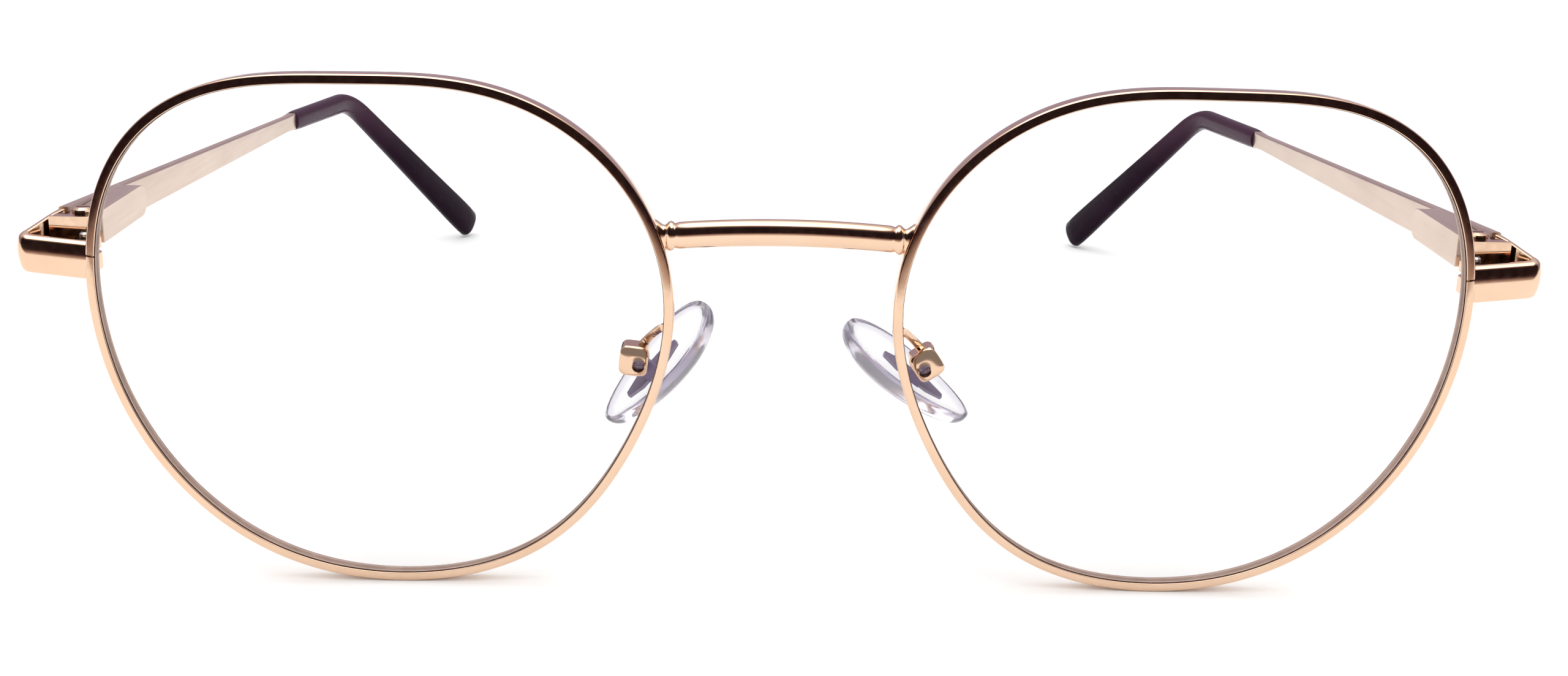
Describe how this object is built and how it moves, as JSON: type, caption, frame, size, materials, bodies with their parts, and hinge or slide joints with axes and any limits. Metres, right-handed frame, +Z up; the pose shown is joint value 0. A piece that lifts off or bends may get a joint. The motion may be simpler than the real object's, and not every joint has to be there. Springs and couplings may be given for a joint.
{
  "type": "eyeglasses",
  "caption": "Full-rim metal eyeglasses with rounded panto eye shapes, thin bar bridge, adjustable silicone nose pads, spring-hinged slim temples and bent plastic ear tips.",
  "frame": {"origin": "centre of the footprint, on the table under the open glasses, which stand on the lower edges of the rims and the ends of the temple tips", "axes": "+Z up, the front of the lenses faces -Y, the open temples run back along +Y, and +X is the wearer's left; left_ nodes are on +X"},
  "size_m": [0.1382, 0.1413, 0.0477],
  "materials": {
    "gold": "polished pale rose gold plating on metal",
    "satin_gold": "satin champagne gold plating on metal",
    "steel": "bare stainless steel",
    "dark_plastic": "polished dark aubergine acetate",
    "insert_plastic": "grey violet plastic",
    "silicone": "soft clear silicone",
    "lens": "clear coated lens"
  },
  "bodies": {
    "front": {"bridge": "gold", "left_rim": "gold", "left_lens": "lens", "left_endpiece": "gold", "left_upper_lock_block": "gold", "left_lower_lock_block": "gold", "left_lock_screw": "steel", "left_front_hinge": "gold", "left_hinge_screw": "steel", "left_pad_arm": "gold", "left_pad_screw": "steel", "right_rim": "gold", "right_lens": "lens", "right_endpiece": "gold", "right_upper_lock_block": "gold", "right_lower_lock_block": "gold", "right_lock_screw": "steel", "right_front_hinge": "gold", "right_hinge_screw": "steel", "right_pad_arm": "gold", "right_pad_screw": "steel"},
    "left_hinge": {"left_hinge_slider": "steel", "left_spring_stop": "steel", "left_hinge_spring": "steel"},
    "left_arm": {"left_spring_housing": "satin_gold", "left_temple": "satin_gold", "left_temple_tip": "dark_plastic"},
    "left_pad": {"left_pad_insert": "insert_plastic", "left_nose_pad": "silicone"},
    "right_hinge": {"right_hinge_slider": "steel", "right_spring_stop": "steel", "right_hinge_spring": "steel"},
    "right_arm": {"right_spring_housing": "satin_gold", "right_temple": "satin_gold", "right_temple_tip": "dark_plastic"},
    "right_pad": {"right_pad_insert": "insert_plastic", "right_nose_pad": "silicone"}
  },
  "joints": [
    {"name": "left_fold", "type": "hinge", "parent": "front", "child": "left_hinge", "pos_m": [0.06435, -0.0623, 0.0319], "axis": [0, 0, 1], "range_deg": [-8, 85.5]},
    {"name": "left_spring_pull", "type": "slide", "parent": "left_hinge", "child": "left_arm", "axis": [0, 1, 0], "range_m": [0, 0.0012], "stiffness_N_per_m": 3000, "springref_m": -0.0005, "deforming": ["left_hinge_spring"]},
    {"name": "left_pad_rock", "type": "hinge", "parent": "front", "child": "left_pad", "pos_m": [0.0134, -0.0627, 0.02025], "axis": [0, -1, 0], "range_deg": [-20, 4]},
    {"name": "right_fold", "type": "hinge", "parent": "front", "child": "right_hinge", "pos_m": [-0.06435, -0.0623, 0.0319], "axis": [0, 0, -1], "range_deg": [-8, 78.5]},
    {"name": "right_spring_pull", "type": "slide", "parent": "right_hinge", "child": "right_arm", "axis": [0, 1, 0], "range_m": [0, 0.0012], "stiffness_N_per_m": 3000, "springref_m": -0.0005, "deforming": ["right_hinge_spring"]},
    {"name": "right_pad_rock", "type": "hinge", "parent": "front", "child": "right_pad", "pos_m": [-0.0134, -0.0627, 0.02025], "axis": [0, 1, 0], "range_deg": [-4, 20]}
  ]
}
